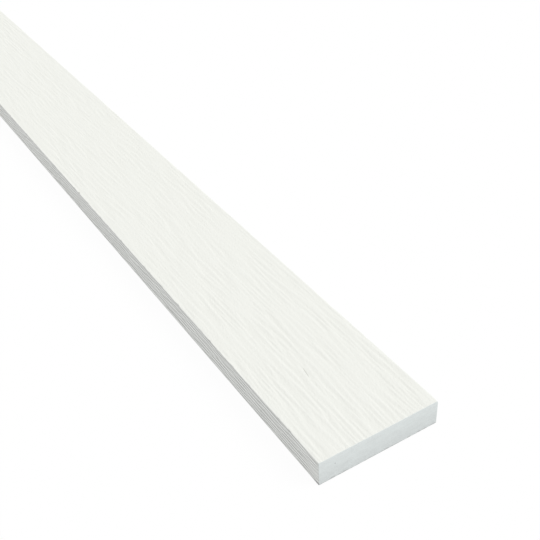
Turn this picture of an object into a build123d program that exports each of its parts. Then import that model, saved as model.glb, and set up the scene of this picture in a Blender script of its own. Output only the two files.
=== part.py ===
from build123d import *
import os

# A fibre cement trim board: one flat board, pressed in one piece, with eased long arrises and square-cut ends.
# It lies on its back with the show face up. X runs across the face, Y along the length and Z through the
# thickness. The origin is the centre of the back.

# Driving dimensions, in millimetres
board_length = 3048.0  # 10 ft, a length that the stock is sold in
board_width = 88.9  # 3 1/2 in, the face of a nominal 4 in board
board_thickness = 19.05  # 3/4 in, the thickness of a nominal 1 in board
face_arris_radius = 0.5  # rounding of the two long arrises beside the show face
back_arris_chamfer = 0.2  # small break of the two long arrises beside the back


def board_section():
    """The cross-section: a rectangle that stands on the back, with its four corners eased."""
    blank = Pos(0, board_thickness / 2) * Rectangle(board_width, board_thickness)
    face_corners = blank.vertices().group_by(Axis.Y)[-1]
    eased_face = fillet(face_corners, face_arris_radius)
    back_corners = eased_face.vertices().group_by(Axis.Y)[0]
    return chamfer(back_corners, back_arris_chamfer)


def trim_board():
    """The section run along the whole length, the same distance each way from the middle."""
    return extrude(Plane.XZ * board_section(), board_length / 2, both=True)


os.makedirs("parts", exist_ok=True)
export_step(trim_board(), "parts/trim_board.step")
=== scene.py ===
import math
from collections import namedtuple

import bmesh
import bpy
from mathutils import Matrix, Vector


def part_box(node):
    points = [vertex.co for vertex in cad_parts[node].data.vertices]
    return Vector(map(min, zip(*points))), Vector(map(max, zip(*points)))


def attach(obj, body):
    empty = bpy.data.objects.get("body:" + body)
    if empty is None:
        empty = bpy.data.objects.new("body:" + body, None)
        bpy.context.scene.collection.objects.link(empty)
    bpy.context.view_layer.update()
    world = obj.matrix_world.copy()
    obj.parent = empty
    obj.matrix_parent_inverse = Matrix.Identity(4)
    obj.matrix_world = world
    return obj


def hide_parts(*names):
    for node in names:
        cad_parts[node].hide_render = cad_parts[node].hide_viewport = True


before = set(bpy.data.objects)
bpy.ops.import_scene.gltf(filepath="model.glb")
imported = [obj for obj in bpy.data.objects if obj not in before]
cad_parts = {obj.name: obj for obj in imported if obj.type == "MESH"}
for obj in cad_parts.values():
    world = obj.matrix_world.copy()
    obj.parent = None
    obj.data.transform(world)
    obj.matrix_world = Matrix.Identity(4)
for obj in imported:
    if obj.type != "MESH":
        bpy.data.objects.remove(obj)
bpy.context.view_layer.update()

# The board as the frame gives it, in metres: X across the face, Y along the length, Z through the thickness
LOW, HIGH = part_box("trim_board")
SIZE = HIGH - LOW
MIDDLE = (LOW + HIGH) / 2
MM = 0.001
HAIR = 0.01 * MM  # how near two places have to be to count as one

# Streaky noise: how narrow and how long its streaks are, a shift to a part of the noise of its own, and how
# much finer noise lies on it. The limits of a noise are where its effect starts and where it is full.
Streaks = namedtuple("Streaks", "spacing reach shift detail rough", defaults=(0.0, 0.5))
NOISE_LIMITS = (0.2, 0.8)  # nearly all of a noise lies between these

# How finely the blank is cut before the relief is pressed in
LONG_CUTS = (18, 18)  # the length in 18 lots of 18 rows
NEAR_LENGTH = 875 * MM  # from the near cut end, where the rows are cut finer
NEAR_ROW_CUTS = 4
COLUMNS = (14, 8)  # across the face and the cut ends
EDGE_ROWS = 12
SMOOTH_ANGLE = 25.0

# Eased long arrises, and the lightly rubbed arrises round the cut ends
FACE_ARRIS = 0.5 * MM
FACE_ARRIS_STEPS = 3
BACK_ARRIS = 0.2 * MM
END_ARRIS = 0.2 * MM
ARRIS_HIGHLIGHT_BAND = (1.5 * MM, 0.5 * MM)  # a painted highlight: paler primer beside a face arris, from here to there

# Wear of the face arrises: they are a little ragged, and the left one has one small nick
NIBBLE = Streaks(7 * MM, SIZE.x / 4, shift=13.0, detail=1.0)
NIBBLE_LIMITS = (0.5, 0.75)
NIBBLE_BAND = 2.5 * FACE_ARRIS  # how far from the corner the wear reaches
NIBBLE_DEPTH = 0.4 * MM
NICK_AT = 364 * MM  # from the near end
NICK_HALF = (1.25 * MM, 2.2 * MM)  # half its width on the face, and half its length
NICK_CORE = 0.3
NICK_FOOT = 2 * FACE_ARRIS  # how far below the face it dies out
NICK_DEPTH = 0.6 * MM

# Woodgrain on the show face
GRAIN = Streaks(2.5 * MM, 30 * MM, shift=11.3, detail=1.0, rough=0.2)
GRAIN_DEPTH = 0.21 * MM
GRAIN_BUMP = 0.155 * MM  # the sharpest part of the lines, finer than the cut of the blank
GRAIN_TOP, GRAIN_FLOOR = 0.70, 0.34  # the noise on the flat, and in the bottom of a line
RIDGES = GRAIN._replace(detail=0.0)  # the broad form of the grain
RIDGE_LEAN = 1.8 * MM  # the ridges lean to the right
DRIFT = Streaks(40 * MM, 110 * MM, shift=15.4)  # the lines wander slowly from side to side
DRIFT_WIDTH = 3.5 * MM
CALM = Streaks(14 * MM, 55 * MM, shift=23.1)  # patches where the grain is shallower
CALM_LIMITS = (0.3, 0.6)
CALMEST = 0.4
BITE = Streaks(400 * MM, 350 * MM, shift=12.6)  # the press bites less deeply along some lengths of the board
BITE_LIMITS = (0.4, 0.72)
SHALLOWEST = 0.65
FIBRE = Streaks(1.2 * MM, 2.4 * MM, shift=31.0, detail=1.0)  # a fine tooth in the primer
FIBRE_BUMP = 0.14 * MM
FLECK_AT = (36.2 * MM, 66.8 * MM)  # one dark fleck in the grain, from the near left corner
FLECK_HALF = (0.55 * MM, 6.0 * MM)
FLECK_CORE = 0.1
FLECK_LEAN = 0.16

# Layer lines on the long edges
LAYER_SPACING = 2.8 * MM
LAYER_CRISP = 0.6  # the height of the wave at which a line is at its full strength
LAYER_STRENGTH = 1.4
LAYER_SWAY = Streaks(8 * MM, 160 * MM, shift=5.9)  # the lines wander up and down
LAYER_SWAY_LINES = 0.45  # by so many lines each way
LAYER_PATCH = Streaks(9 * MM, 17 * MM, shift=35.0)  # by patches they fade, and may turn from dark to pale
LAYER_PATCH_LIMITS = (0.3, 0.7)
LAYER_TURNED, LAYER_FULL = -0.7, 1.1
LAYER_FADE = 3 * MM  # they fade towards the face and the back
LAYER_FAINTEST = 0.2
FLAKE = Streaks(1.4 * MM, 14 * MM, shift=29.0, detail=1.0)  # finer lines between the layers
FLAKE_STRENGTH = 0.55
LIP_AND_SHADE = (2.2 * MM, 0.9 * MM)  # a slightly sunk strip under each face arris, its primer darkened as painted shade: from here to there below the face
LIP_AND_SHADE_DEPTH = 0.2
LAYER_DEPTH = 0.12 * MM
LAYER_BUMP = 0.10 * MM
EDGES_APART = 40 * MM  # so that the two long edges don't read the same noise
CORNER_FOOT_DARK = (9 * MM, 2.0 * MM)  # a dark patch at the foot of the near left corner: its length and height
CORNER_FOOT_DARK_LIMITS = (1.2, 0.7)  # it is gone at the first share of that size, and full within the second

# The sawn ends
CUT_GRIT = Streaks(1.0 * MM, 1.0 * MM, shift=7.7, detail=2.0)
CUT_GRIT_STRENGTH = 0.9
CUT_BUMP = 0.08 * MM
CUT_PATCH = Streaks(7 * MM, 3.5 * MM, shift=2.3, detail=1.0)
CUT_PATCH_STRENGTH = 0.8
CUT_LAYER = Streaks(1.8 * MM, 22 * MM, shift=9.1, detail=1.0)
CUT_LAYER_STRENGTH = 0.5
CUT_PALING = (-0.1, 1.1)  # the cement pales from below the back to above the face: painted shade, darker towards the floor
CUT_PALING_PAST = SIZE.z / 4
CUT_FOOT = 1.4 * MM  # a darker strip along the lower arris: painted shade where the end meets the floor
CUT_FOOT_CORE = 0.2 * CUT_FOOT
CUT_FOOT_STRENGTH = 0.7
CUT_FOOT_LINE = Streaks(3 * MM, 3 * MM, shift=47.0, detail=2.0)  # its uneven upper edge
CHIP = Streaks(3 * MM, SIZE.y / 4, shift=17.0, detail=2.0)  # small chips out of the lower arris
CHIP_LIMITS = (0.45, 0.8)
CHIP_HEIGHT = 0.3 * MM
PIT_AT = (11.6 * MM, 12.0 * MM)  # one small pit in the near end, from its lower left corner; its dark colour is painted shade in the hollow
PIT_SIZE = 0.55 * MM
PIT_CORE = PIT_SIZE / 3

# The back
FELT = Streaks(3 * MM, 6 * MM, shift=41.0, detail=3.0)
FELT_BUMP = 0.1 * MM

# Finishes: linear colours, roughness from the bottom to the top of the relief, and the strength of the gloss
PRIMER = (0.885, 0.893, 0.845)
# the primer in the bottom of a grain line, a touch darker: partly less primer and partly painted shade in the
# groove
PRIMER_IN_GRAIN = (0.876, 0.884, 0.835)
# paler primer beside each face arris: a painted highlight
PRIMER_ARRIS_HIGHLIGHT = (0.93, 0.94, 0.90)
FLECK = (0.69, 0.70, 0.655)
# the nick: bare core, darkened further by painted shade in the notch
NICK = (0.56, 0.57, 0.54)
FACE_ROUGHNESS = (0.75, 0.6)
# the pale and dark lines of the edge's layers: their own tone, and partly painted highlight and shade of the
# layers' relief
EDGE_PRIMER = (0.955, 0.968, 0.943)
EDGE_SHADE = (0.595, 0.606, 0.584)
EDGE_CORNER_FOOT_DARK = (0.42, 0.42, 0.42)
EDGE_ROUGHNESS = (0.85, 0.7)
CEMENT = (0.735, 0.777, 0.77)
CEMENT_LOW = (0.655, 0.688, 0.683)
CEMENT_IN_PAINTED_SHADE = (0.44, 0.45, 0.45)
CEMENT_ROUGHNESS = (0.95, 0.8)
BACK_SEALER = (0.62, 0.63, 0.60)
BACK_CEMENT = (0.52, 0.53, 0.51)
BACK_ROUGHNESS = (0.9, 0.75)
SEALED_GLOSS = 0.3
CEMENT_GLOSS = 0.2

# How squarely a face of the mesh points sideways, endways or down to count as an edge, an end or the back
EDGE_SQUARE = 0.8
END_SQUARE = 0.5
BACK_SQUARE = 0.9

# The board's own flat map, through which the export bakes its finishes: the heights of the sides' rows on it
MAP_NAME = "OFBake"  # the name that the export looks for
MAP_ROWS = {"face": 0.23, "left": 0.05, "right": 0.05, "end": 0.055, "back": 0.07}
MAP_GAP = 0.008

# Camera: its place from the near left corner of the back, and its turn
CAMERA_FROM_CORNER = Vector((-187.6, -279.6, 406.8)) * MM
CAMERA_TURN = (53.48, 2.44, -31.95)
CAMERA_LENS = 58.43
CAMERA_SENSOR = 36.0
CAMERA_NEAREST = 10 * MM

# Light: a soft sun from the front right and an even pale sky
SUN_TURN = (45.0, 0.0, 50.0)
SUN_STRENGTH = 1.51
SUN_SPREAD = 40.0
SKY_STRENGTH = 0.66
FLOOR_SIZE = 60.0
FLOOR_GAP = 0.2 * MM
FLOOR_BOUNCE = 0.4  # how much of the light on the floor comes back to the board
FLOOR_GLOW = 0.4  # the floor's own light, as of a lit table
FLOOR_SHADE = 0.05  # how much of the board's shadow the camera sees


class Nodes:
    """Adds linked nodes to the tree of a material or of a modifier."""

    def __init__(self, tree):
        self.tree = tree

    def add(self, kind, inputs=None, **settings):
        made = self.tree.nodes.new(kind)
        for name, value in settings.items():
            setattr(made, name, value)
        for name, value in (inputs or {}).items():
            self.feed(made.inputs[name], value)
        return made

    def feed(self, socket, value):
        if isinstance(value, bpy.types.NodeSocket):
            self.tree.links.new(value, socket)
        else:
            socket.default_value = value

    def math(self, operation, first, second=0.0):
        return self.add("ShaderNodeMath", {0: first, 1: second}, operation=operation).outputs[0]

    def plus(self, first, *others):
        for other in others:
            first = self.math("ADD", first, other)
        return first

    def times(self, first, *others):
        for other in others:
            first = self.math("MULTIPLY", first, other)
        return first

    def scaled(self, value, by, shift=0.0):
        return self.add("ShaderNodeMath", {0: value, 1: by, 2: shift}, operation="MULTIPLY_ADD").outputs[0]

    def beyond(self, value, limit):
        """1 where the value, of either sign, is at the limit or past it, and 0 elsewhere."""
        return self.math("GREATER_THAN", self.math("ABSOLUTE", value), limit - HAIR)

    def ramp(self, value, low, high, start=0.0, end=1.0):
        """A smooth step from start, where the value is low, to end, where it is high."""
        inputs = {"Value": value, "From Min": low, "From Max": high, "To Min": start, "To Max": end}
        return self.add("ShaderNodeMapRange", inputs, interpolation_type="SMOOTHSTEP").outputs[0]

    def axes(self, place):
        return self.add("ShaderNodeSeparateXYZ", {0: place}).outputs

    def streaks(self, across, along, pattern):
        """Noise from 0 to 1, drawn out into streaks: narrow across and long along."""
        place = self.add("ShaderNodeCombineXYZ", {
            0: self.scaled(across, 1 / pattern.spacing, pattern.shift),
            1: self.scaled(along, 1 / pattern.reach, pattern.shift),
        })
        inputs = {
            "Vector": place.outputs[0],
            "Scale": 1.0,
            "Detail": pattern.detail,
            "Roughness": pattern.rough,
        }
        return self.add("ShaderNodeTexNoise", inputs, noise_dimensions="2D").outputs[0]

    def blend(self, factor, first, second):
        """The first colour where the factor is 0 and the second where it is 1."""
        made = self.add("ShaderNodeMix", {0: factor}, data_type="RGBA")
        # A Mix node takes its two colours at sockets 6 and 7, and gives their mix at 2
        for socket, colour in ((made.inputs[6], first), (made.inputs[7], second)):
            self.feed(socket, (*colour, 1.0) if isinstance(colour, tuple) else colour)
        return made.outputs[2]


def grain_height(nodes, place):
    """The woodgrain, from 0 in the bottom of a line to 1 on the flat between two lines."""
    x, y, _ = nodes.axes(place)
    drift = nodes.scaled(nodes.streaks(x, y, DRIFT), DRIFT_WIDTH, -DRIFT_WIDTH / 2)
    across = nodes.plus(x, drift)
    lean = nodes.scaled(nodes.streaks(across, y, RIDGES), RIDGE_LEAN, -RIDGE_LEAN / 2)
    lines = nodes.streaks(nodes.math("SUBTRACT", across, lean), y, GRAIN)
    depth = nodes.ramp(lines, GRAIN_TOP, GRAIN_FLOOR)
    calm = nodes.ramp(nodes.streaks(x, y, CALM), *CALM_LIMITS, CALMEST, 1.0)
    bite = nodes.ramp(nodes.streaks(x, y, BITE), *BITE_LIMITS, SHALLOWEST, 1.0)
    return nodes.math("SUBTRACT", 1.0, nodes.times(depth, calm, bite))


def fibre_height(nodes, place):
    """The fine tooth of the primed face."""
    x, y, _ = nodes.axes(place)
    return nodes.streaks(x, y, FIBRE)


def oval_mask(nodes, place, middle, half, core, lean=0.0):
    """1 in the core of an oval spot on the show face and 0 outside the spot, which may lean to the right.

    The core is given as the square of its share of the spot's half sizes.
    """
    x, y, _ = nodes.axes(place)
    along = nodes.scaled(y, 1 / half[1], -middle[1] / half[1])
    upright = nodes.math("SUBTRACT", x, nodes.scaled(y, lean, -lean * middle[1]))
    across = nodes.scaled(upright, 1 / half[0], -middle[0] / half[0])
    squares = nodes.plus(nodes.times(along, along), nodes.times(across, across))
    return nodes.ramp(squares, 1.0, core)


def fleck_mask(nodes, place):
    middle = (LOW.x + FLECK_AT[0], LOW.y + FLECK_AT[1])
    return oval_mask(nodes, place, middle, FLECK_HALF, FLECK_CORE, FLECK_LEAN)


def nick_mask(nodes, place):
    return oval_mask(nodes, place, (LOW.x, LOW.y + NICK_AT), NICK_HALF, NICK_CORE)


def layer_height(nodes, place):
    """The layer lines of a long edge, about 0 in a dark line and about 1 in a pale one, lower in a strip
    under the face arris that is slightly sunk and painted shade.
    """
    x, y, z = nodes.axes(place)
    across = nodes.plus(z, nodes.scaled(nodes.math("SIGN", x), EDGES_APART))
    sway = nodes.scaled(nodes.streaks(across, y, LAYER_SWAY), 2 * LAYER_SWAY_LINES)
    turns = nodes.plus(nodes.scaled(z, 1 / LAYER_SPACING), sway)
    wave = nodes.math("SINE", nodes.scaled(turns, 2 * math.pi))
    crisp = nodes.ramp(wave, -LAYER_CRISP, LAYER_CRISP, -LAYER_STRENGTH / 2, LAYER_STRENGTH / 2)
    patch = nodes.ramp(nodes.streaks(across, y, LAYER_PATCH), *LAYER_PATCH_LIMITS, LAYER_TURNED, LAYER_FULL)
    from_middle = nodes.math("ABSOLUTE", nodes.scaled(z, 1.0, -MIDDLE.z))
    inside = nodes.ramp(from_middle, SIZE.z / 2, SIZE.z / 2 - LAYER_FADE, LAYER_FAINTEST, 1.0)
    lines = nodes.times(crisp, patch, inside)
    flakes = nodes.scaled(nodes.streaks(across, y, FLAKE), FLAKE_STRENGTH, 0.5 - FLAKE_STRENGTH / 2)
    # a strip under the face arris, slightly sunk, whose darker primer is painted shade
    lip_and_shade = nodes.ramp(z, HIGH.z - LIP_AND_SHADE[0], HIGH.z - LIP_AND_SHADE[1], 0.0, LIP_AND_SHADE_DEPTH)
    return nodes.math("SUBTRACT", nodes.plus(lines, flakes), lip_and_shade)


def corner_foot_dark_mask(nodes, place):
    """1 in the dark patch at the foot of the near left corner and 0 away from it."""
    x, y, z = nodes.axes(place)
    along = nodes.scaled(y, 1 / CORNER_FOOT_DARK[0], -LOW.y / CORNER_FOOT_DARK[0])
    up = nodes.scaled(z, 1 / CORNER_FOOT_DARK[1], -LOW.z / CORNER_FOOT_DARK[1])
    on_left = nodes.math("LESS_THAN", x, MIDDLE.x)
    return nodes.times(nodes.ramp(nodes.plus(along, up), *CORNER_FOOT_DARK_LIMITS), on_left)


def grit_height(nodes, place):
    """The fine grit of a sawn end."""
    x, _, z = nodes.axes(place)
    return nodes.streaks(x, z, CUT_GRIT)


def foot_shade_mask(nodes, place):
    """1 in the strip of painted shade along the lower arris of a sawn end and 0 above it."""
    x, _, z = nodes.axes(place)
    uneven = nodes.scaled(nodes.streaks(x, z, CUT_FOOT_LINE), -2 * CUT_FOOT, CUT_FOOT)
    return nodes.ramp(nodes.plus(z, uneven), LOW.z + CUT_FOOT, LOW.z + CUT_FOOT_CORE)


def pit_mask(nodes, place):
    """1 in the one small pit of the near end and 0 outside it."""
    middle = (LOW.x + PIT_AT[0], LOW.y, LOW.z + PIT_AT[1])
    away = nodes.add("ShaderNodeVectorMath", {0: place, 1: middle}, operation="DISTANCE").outputs["Value"]
    return nodes.ramp(away, PIT_SIZE, PIT_CORE)


def edit_board(board):
    bpy.ops.object.select_all(action="DESELECT")
    board.select_set(True)
    bpy.context.view_layer.objects.active = board
    bpy.ops.object.mode_set(mode="EDIT")


def select_edges(board, wanted):
    """Selects the edges, in edit mode, for whose two ends wanted is true."""
    bpy.ops.mesh.select_mode(type="EDGE")
    bpy.ops.mesh.select_all(action="DESELECT")
    mesh = bmesh.from_edit_mesh(board.data)
    for edge in mesh.edges:
        edge.select_set(wanted(edge.verts[0].co, edge.verts[1].co))
    bmesh.update_edit_mesh(board.data)


def near(a, b):
    return abs(a - b) < HAIR


def runs_along(a, b):
    return near(a.x, b.x) and near(a.z, b.z)


def runs_across(a, b):
    return near(a.y, b.y) and near(a.z, b.z)


def runs_up(a, b):
    return near(a.x, b.x) and near(a.y, b.y) and abs(a.z - b.z) > SIZE.z / 2


def cut_board_blank():
    """A cube at the board's size and place, with its long arrises eased and its end arrises rubbed."""
    bpy.ops.object.select_all(action="DESELECT")
    bpy.ops.mesh.primitive_cube_add(size=1, location=MIDDLE, scale=SIZE)
    bpy.ops.object.transform_apply(location=True, rotation=True, scale=True)
    board = bpy.context.object
    board.name = board.data.name = "woodgrain_board"
    edit_board(board)
    select_edges(board, lambda a, b: runs_along(a, b) and near(a.z, HIGH.z))
    bpy.ops.mesh.bevel(offset=FACE_ARRIS, segments=FACE_ARRIS_STEPS, profile=0.5, affect="EDGES")
    select_edges(board, lambda a, b: runs_along(a, b) and near(a.z, LOW.z))
    bpy.ops.mesh.bevel(offset=BACK_ARRIS, segments=1, affect="EDGES")
    select_edges(board, lambda a, b: near(a.y, b.y))
    bpy.ops.mesh.bevel(offset=END_ARRIS, segments=1, affect="EDGES")
    return board


def cut_rows_and_columns(board):
    """Cuts the blank finely enough to hold the relief, and finest near the near cut end."""
    for lots in LONG_CUTS:
        select_edges(board, runs_along)
        bpy.ops.mesh.subdivide(number_cuts=lots - 1)
    near_end = LOW.y + NEAR_LENGTH
    select_edges(board, lambda a, b: runs_along(a, b) and (a.y + b.y) / 2 < near_end)
    bpy.ops.mesh.subdivide(number_cuts=NEAR_ROW_CUTS - 1)
    select_edges(board, runs_up)
    bpy.ops.mesh.subdivide(number_cuts=EDGE_ROWS - 1)
    face_strip = HIGH.z - END_ARRIS - HAIR
    end_strip = HIGH.y - END_ARRIS - HAIR
    for lots in COLUMNS:
        select_edges(board, lambda a, b: runs_across(a, b) and (a.z > face_strip or abs(a.y) > end_strip))
        bpy.ops.mesh.subdivide(number_cuts=lots - 1, ngon=False)


def relief_tree():
    """Presses in the woodgrain, the layer lines and the nick, wears the face arrises and chips the ends."""
    tree = bpy.data.node_groups.new("pressed_relief", "GeometryNodeTree")
    for way in ("INPUT", "OUTPUT"):
        tree.interface.new_socket("Geometry", in_out=way, socket_type="NodeSocketGeometry")
    nodes = Nodes(tree)
    start = nodes.add("NodeGroupInput")
    end = nodes.add("NodeGroupOutput")
    place = nodes.add("GeometryNodeInputPosition").outputs[0]
    x, y, z = nodes.axes(place)

    layers = nodes.scaled(layer_height(nodes, place), LAYER_DEPTH, -LAYER_DEPTH)
    sunk = nodes.times(nodes.math("MINIMUM", layers, 0.0), nodes.beyond(x, HIGH.x))
    by_arris = nodes.times(
        nodes.ramp(z, HIGH.z - NIBBLE_BAND, HIGH.z - FACE_ARRIS / 2),
        nodes.ramp(nodes.math("ABSOLUTE", x), HIGH.x - NIBBLE_BAND, HIGH.x),
    )
    notches = nodes.ramp(nodes.streaks(y, x, NIBBLE), *NIBBLE_LIMITS)
    worn = nodes.times(notches, by_arris, -NIBBLE_DEPTH)

    grain = nodes.scaled(grain_height(nodes, place), GRAIN_DEPTH, -GRAIN_DEPTH)
    pressed = nodes.times(grain, nodes.ramp(z, HIGH.z - FACE_ARRIS, HIGH.z))
    by_face = nodes.ramp(z, HIGH.z - NICK_FOOT, HIGH.z - FACE_ARRIS)
    knocked = nodes.times(nick_mask(nodes, place), by_face, -NICK_DEPTH)
    lowest_row = nodes.ramp(z, LOW.z + 2 * END_ARRIS, LOW.z + END_ARRIS)
    by_foot = nodes.times(lowest_row, nodes.beyond(y, HIGH.y))
    chips = nodes.ramp(nodes.streaks(x, y, CHIP), *CHIP_LIMITS)
    lifted = nodes.times(chips, by_foot, CHIP_HEIGHT)

    move = nodes.add("ShaderNodeCombineXYZ", {
        0: nodes.times(nodes.math("SIGN", x), nodes.plus(sunk, worn)),
        2: nodes.plus(pressed, knocked, lifted),
    })
    moved = nodes.add("GeometryNodeSetPosition", {"Geometry": start.outputs[0], "Offset": move.outputs[0]})
    nodes.feed(end.inputs[0], moved.outputs[0])
    return tree


def press_relief(board):
    bpy.ops.object.mode_set(mode="OBJECT")
    press = board.modifiers.new("pressed_relief", "NODES")
    press.node_group = relief_tree()
    bpy.ops.object.modifier_apply(modifier=press.name)
    bpy.ops.object.shade_smooth_by_angle(angle=math.radians(SMOOTH_ANGLE))


def new_finish(name, gloss):
    """A material with a Principled shader, what adds nodes to it, and the place on the board."""
    finish = bpy.data.materials.new(name)
    finish.use_nodes = True
    nodes = Nodes(finish.node_tree)
    shader = finish.node_tree.nodes["Principled BSDF"]
    shader.inputs["Specular IOR Level"].default_value = gloss
    place = nodes.add("ShaderNodeTexCoord").outputs["Object"]
    return finish, nodes, shader, place


def bump(nodes, shader, height, depth):
    made = nodes.add("ShaderNodeBump", {"Height": height, "Distance": depth, "Strength": 1.0})
    nodes.feed(shader.inputs["Normal"], made.outputs[0])


def primed_face():
    """Creamy white primer: a touch darker in the bottom of the grain, partly as painted shade; paler beside
    each long arris as a painted highlight; with one dark fleck, and the nick darkened partly as painted
    shade.
    """
    finish, nodes, shader, place = new_finish("primed_face", SEALED_GLOSS)
    grain = grain_height(nodes, place)
    primer = nodes.blend(grain, PRIMER_IN_GRAIN, PRIMER)
    from_middle = nodes.math("ABSOLUTE", nodes.axes(place)[0])
    # a painted highlight: paler primer in a band beside each face arris
    arris_highlight = nodes.ramp(from_middle, HIGH.x - ARRIS_HIGHLIGHT_BAND[0], HIGH.x - ARRIS_HIGHLIGHT_BAND[1])
    primer = nodes.blend(arris_highlight, primer, PRIMER_ARRIS_HIGHLIGHT)
    primer = nodes.blend(nick_mask(nodes, place), primer, NICK)
    primer = nodes.blend(fleck_mask(nodes, place), primer, FLECK)
    nodes.feed(shader.inputs["Base Color"], primer)
    nodes.feed(shader.inputs["Roughness"], nodes.ramp(grain, 0.0, 1.0, *FACE_ROUGHNESS))
    tooth = nodes.scaled(fibre_height(nodes, place), FIBRE_BUMP / GRAIN_BUMP)
    bump(nodes, shader, nodes.plus(grain, tooth), GRAIN_BUMP)
    return finish


def primed_edge():
    """Primer over the fine layers that show along a long edge; the contrast of their lines is partly painted
    highlight and shade of their relief.
    """
    finish, nodes, shader, place = new_finish("primed_edge", SEALED_GLOSS)
    layers = layer_height(nodes, place)
    # the layer lines: partly their own tone, partly painted highlight and shade of their relief
    primer = nodes.blend(layers, EDGE_SHADE, EDGE_PRIMER)
    # a dark patch at the foot of the near left corner
    primer = nodes.blend(corner_foot_dark_mask(nodes, place), primer, EDGE_CORNER_FOOT_DARK)
    nodes.feed(shader.inputs["Base Color"], primer)
    nodes.feed(shader.inputs["Roughness"], nodes.ramp(layers, 0.0, 1.0, *EDGE_ROUGHNESS))
    bump(nodes, shader, layers, LAYER_BUMP)
    return finish


def raw_cut_end():
    """Bare cement, sawn square: paler towards the face, with soft patches, faint layers and grit; painted
    shade darkens it towards the floor, along the foot and in the pit.
    """
    finish, nodes, shader, place = new_finish("raw_cut_end", CEMENT_GLOSS)
    x, _, z = nodes.axes(place)
    grit = grit_height(nodes, place)
    mottles = (
        (nodes.streaks(x, z, CUT_PATCH), CUT_PATCH_STRENGTH),
        (nodes.streaks(z, x, CUT_LAYER), CUT_LAYER_STRENGTH),
        (grit, CUT_GRIT_STRENGTH),
    )
    # paler towards the face: painted shade, darker towards the floor
    paleness = nodes.ramp(z, LOW.z - CUT_PALING_PAST, HIGH.z + CUT_PALING_PAST, *CUT_PALING)
    for mottle, strength in mottles:
        paleness = nodes.plus(paleness, nodes.scaled(mottle, strength, -strength / 2))
    cement = nodes.blend(paleness, CEMENT_LOW, CEMENT)
    pit = pit_mask(nodes, place)
    # painted shade: along the foot where the end meets the floor, and in the pit
    dark = nodes.math("MAXIMUM", nodes.scaled(foot_shade_mask(nodes, place), CUT_FOOT_STRENGTH), pit)
    nodes.feed(shader.inputs["Base Color"], nodes.blend(dark, cement, CEMENT_IN_PAINTED_SHADE))
    nodes.feed(shader.inputs["Roughness"], nodes.ramp(grit, *NOISE_LIMITS, *CEMENT_ROUGHNESS))
    bump(nodes, shader, nodes.math("SUBTRACT", grit, pit), CUT_BUMP)
    return finish


def plain_back():
    """A plain sealed back with a faint felt mark from the making."""
    finish, nodes, shader, place = new_finish("plain_back", SEALED_GLOSS)
    x, y, _ = nodes.axes(place)
    felt = nodes.streaks(x, y, FELT)
    nodes.feed(shader.inputs["Base Color"], nodes.blend(felt, BACK_CEMENT, BACK_SEALER))
    nodes.feed(shader.inputs["Roughness"], nodes.ramp(felt, *NOISE_LIMITS, *BACK_ROUGHNESS))
    bump(nodes, shader, felt, FELT_BUMP)
    return finish


def finish_board(board):
    """Gives each side its own finish, by the way its faces point. A later finish covers an earlier one."""
    finishes = (
        (primed_face(), lambda normal: True),
        (primed_edge(), lambda normal: abs(normal.x) > EDGE_SQUARE or -BACK_SQUARE < normal.z < 0),
        (raw_cut_end(), lambda normal: abs(normal.y) > END_SQUARE),
        (plain_back(), lambda normal: normal.z < -BACK_SQUARE),
    )
    edit_board(board)
    bpy.ops.mesh.select_mode(type="FACE")
    for index, (finish, wanted) in enumerate(finishes):
        board.data.materials.append(finish)
        bpy.ops.mesh.select_all(action="DESELECT")
        mesh = bmesh.from_edit_mesh(board.data)
        for face in mesh.faces:
            face.select_set(wanted(face.normal))
        bmesh.update_edit_mesh(board.data)
        board.active_material_index = index
        bpy.ops.object.material_slot_assign()
    bpy.ops.object.mode_set(mode="OBJECT")


def map_starts():
    """Where the flat map's rows start: each side has one for its near half and one for its far half."""
    starts = {}
    start = MAP_GAP
    for side, height in MAP_ROWS.items():
        for far in (False, True):
            starts[side, far] = start
            start += height + MAP_GAP
    return starts


def lay_out_flat(board):
    """Lays each half of each side along a row of the flat map, so that its finish bakes sharply."""
    starts = map_starts()
    edit_board(board)
    mesh = bmesh.from_edit_mesh(board.data)
    flat = mesh.loops.layers.uv.new(MAP_NAME)
    for face in mesh.faces:
        middle = face.calc_center_median()
        far = middle.y > MIDDLE.y
        edge = "right" if middle.x > MIDDLE.x else "left"
        side = ("face", edge, "end", "back")[face.material_index]  # in the order of the finishes
        for loop in face.loops:
            x, y, z = [(at - low) / size for at, low, size in zip(loop.vert.co, LOW, SIZE)]
            along = 2 * y - far
            ways = {
                "face": (along, 1 - x),
                "left": (along, 1 - z),
                "right": (along, z),
                "end": (1 - x if far else x, z),
                "back": (along, x),
            }
            u, v = ways[side]
            loop[flat].uv = (MAP_GAP + u * (1 - 2 * MAP_GAP), starts[side, far] + v * MAP_ROWS[side])
    bmesh.update_edit_mesh(board.data)
    bpy.ops.object.mode_set(mode="OBJECT")


def grey(level):
    return (level, level, level, 1.0)


def radians(turn):
    return [math.radians(angle) for angle in turn]


def seen_rays(nodes):
    """1 for a ray from the camera, straight or by way of gloss or glass, and 0 for the light on the board."""
    rays = nodes.add("ShaderNodeLightPath").outputs
    seen = rays["Is Camera Ray"]
    for other in ("Is Glossy Ray", "Is Transmission Ray"):
        seen = nodes.math("MAXIMUM", seen, rays[other])
    return seen


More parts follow.
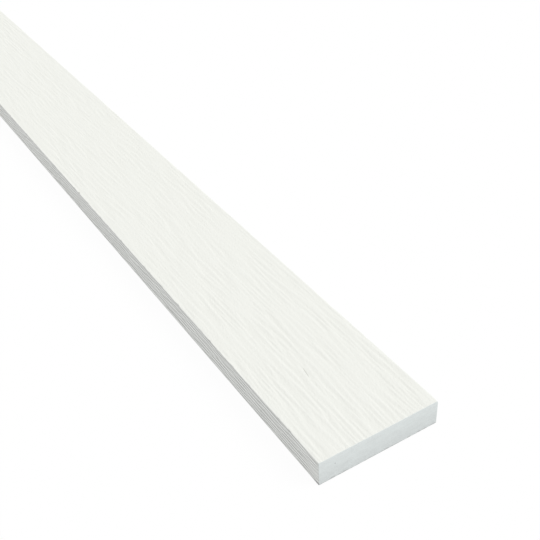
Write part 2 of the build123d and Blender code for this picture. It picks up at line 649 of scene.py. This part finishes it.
def make_floor():
    """A pale floor that looks white to the camera, with the board's soft shadow."""
    bpy.ops.object.select_all(action="DESELECT")
    bpy.ops.mesh.primitive_plane_add(size=FLOOR_SIZE, location=(0, 0, LOW.z - FLOOR_GAP))
    floor = bpy.context.object
    floor.name = "floor"
    finish = bpy.data.materials.new("pale_floor")
    finish.use_nodes = True
    finish.node_tree.nodes.clear()
    nodes = Nodes(finish.node_tree)
    sent_back = nodes.add("ShaderNodeBsdfDiffuse", {"Color": grey(FLOOR_BOUNCE)})
    glow = nodes.add("ShaderNodeEmission", {"Strength": FLOOR_GLOW})
    bounce = nodes.add("ShaderNodeAddShader", {0: sent_back.outputs[0], 1: glow.outputs[0]})
    shade = nodes.add("ShaderNodeBsdfDiffuse", {"Color": grey(FLOOR_SHADE)})
    white = nodes.add("ShaderNodeEmission", {"Strength": 1 - FLOOR_SHADE})
    seen = nodes.add("ShaderNodeAddShader", {0: shade.outputs[0], 1: white.outputs[0]})
    mixed = nodes.add("ShaderNodeMixShader", {0: seen_rays(nodes), 1: bounce.outputs[0], 2: seen.outputs[0]})
    out = nodes.add("ShaderNodeOutputMaterial")
    nodes.feed(out.inputs["Surface"], mixed.outputs[0])
    finish.cycles.emission_sampling = "NONE"
    floor.data.materials.append(finish)


def make_sky():
    """An even pale sky that looks white to the camera."""
    sky = bpy.data.worlds.new("pale_sky")
    sky.use_nodes = True
    sky.node_tree.nodes.clear()
    nodes = Nodes(sky.node_tree)
    strength = nodes.scaled(seen_rays(nodes), 1 - SKY_STRENGTH, SKY_STRENGTH)
    light = nodes.add("ShaderNodeBackground", {"Color": grey(1.0), "Strength": strength})
    out = nodes.add("ShaderNodeOutputWorld")
    nodes.feed(out.inputs["Surface"], light.outputs[0])
    bpy.context.scene.world = sky


def make_sun():
    bpy.ops.object.light_add(type="SUN", rotation=radians(SUN_TURN))
    sun = bpy.context.object
    sun.name = "soft_sun"
    sun.data.energy = SUN_STRENGTH
    sun.data.angle = math.radians(SUN_SPREAD)


def make_camera():
    bpy.ops.object.camera_add(location=LOW + CAMERA_FROM_CORNER, rotation=radians(CAMERA_TURN))
    camera = bpy.context.object
    camera.data.lens = CAMERA_LENS
    camera.data.sensor_width = CAMERA_SENSOR
    camera.data.clip_start = CAMERA_NEAREST
    bpy.context.scene.camera = camera


board = cut_board_blank()
cut_rows_and_columns(board)
press_relief(board)
finish_board(board)
lay_out_flat(board)
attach(board, "root")
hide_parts("trim_board")

make_floor()
make_sky()
make_sun()
make_camera()
bpy.context.scene.view_settings.view_transform = "Standard"
